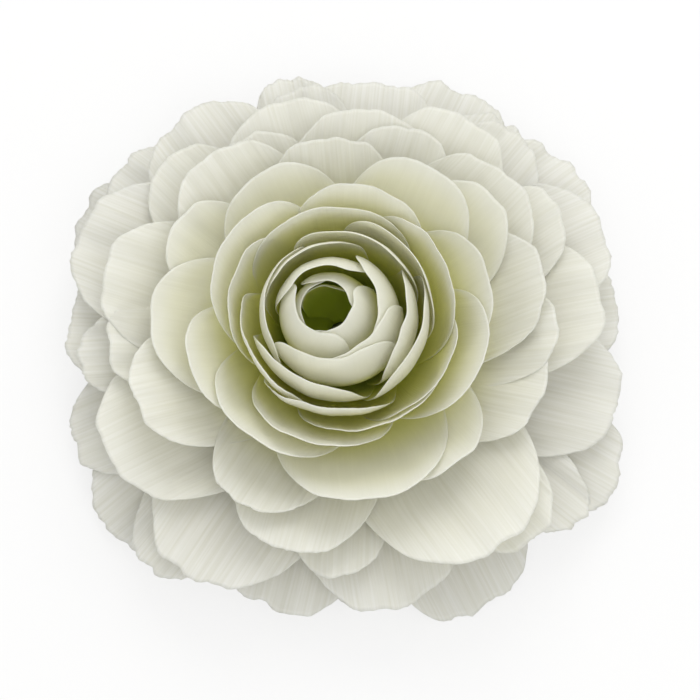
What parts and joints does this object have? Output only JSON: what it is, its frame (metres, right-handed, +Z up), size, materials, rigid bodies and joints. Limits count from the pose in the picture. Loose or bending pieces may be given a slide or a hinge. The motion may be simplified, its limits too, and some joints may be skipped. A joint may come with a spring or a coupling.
{
  "type": "ranunculus flower",
  "caption": "Fully double cream-white ranunculus bloom lying face up on its cut stem: nested cupped petals round a closed bud, with drooping outer petals and green sepals.",
  "frame": {"origin": "middle of the flower's outline seen from above, on the surface that the cut stem stands on", "axes": "+Z up out of the face of the flower; +Y towards the side that the picture shows at the top, +X towards the side that it shows at the right"},
  "size_m": [0.1024, 0.1036, 0.0346],
  "materials": {
    "outer_petal": "thin matte petal, cream white with fine lengthwise pleats and veins, crinkled at the rim",
    "middle_petal": "thin matte petal, cream white shading to yellow-green at its base, with fine lengthwise veins",
    "cup_petal": "smooth satin petal, ivory with a pale thin rim and a yellow-green base",
    "bud_petal": "smooth satin petal, ivory with a pale rim, yellow-green inside the bud",
    "sepal": "matte green leaf",
    "receptacle": "matte pale green stem and cone, with a moist cut face"
  },
  "bodies": {
    "root": {"stem_and_receptacle": "receptacle", "sepal_1": "sepal", "sepal_2": "sepal", "sepal_3": "sepal", "sepal_4": "sepal", "sepal_5": "sepal", "outer_petal_01": "outer_petal", "outer_petal_02": "outer_petal", "outer_petal_03": "outer_petal", "outer_petal_04": "outer_petal", "outer_petal_05": "outer_petal", "outer_petal_06": "outer_petal", "outer_petal_07": "outer_petal", "outer_petal_08": "outer_petal", "outer_petal_09": "outer_petal", "outer_petal_10": "outer_petal", "outer_petal_11": "outer_petal", "outer_petal_12": "outer_petal", "outer_petal_13": "outer_petal", "outer_petal_14": "outer_petal", "outer_petal_15": "outer_petal", "outer_petal_16": "outer_petal", "outer_petal_17": "outer_petal", "middle_petal_01": "middle_petal", "middle_petal_02": "middle_petal", "middle_petal_03": "middle_petal", "middle_petal_04": "middle_petal", "middle_petal_05": "middle_petal", "middle_petal_06": "middle_petal", "middle_petal_07": "middle_petal", "middle_petal_08": "middle_petal", "middle_petal_09": "middle_petal", "middle_petal_10": "middle_petal", "middle_petal_11": "middle_petal", "middle_petal_12": "middle_petal", "middle_petal_13": "middle_petal", "middle_petal_14": "middle_petal", "middle_petal_15": "middle_petal", "cup_petal_01": "cup_petal", "cup_petal_02": "cup_petal", "cup_petal_03": "cup_petal", "cup_petal_04": "cup_petal", "cup_petal_05": "cup_petal", "cup_petal_06": "cup_petal", "cup_petal_07": "cup_petal", "cup_petal_08": "cup_petal", "cup_petal_09": "cup_petal", "cup_petal_10": "cup_petal", "bud_petal_01": "bud_petal", "bud_petal_02": "bud_petal", "bud_petal_03": "bud_petal", "bud_petal_04": "bud_petal", "bud_petal_05": "bud_petal", "bud_petal_06": "bud_petal", "bud_petal_07": "bud_petal", "bud_petal_08": "bud_petal", "bud_petal_09": "bud_petal", "bud_petal_10": "bud_petal", "bud_petal_11": "bud_petal", "bud_petal_12": "bud_petal"}
  },
  "joints": []
}
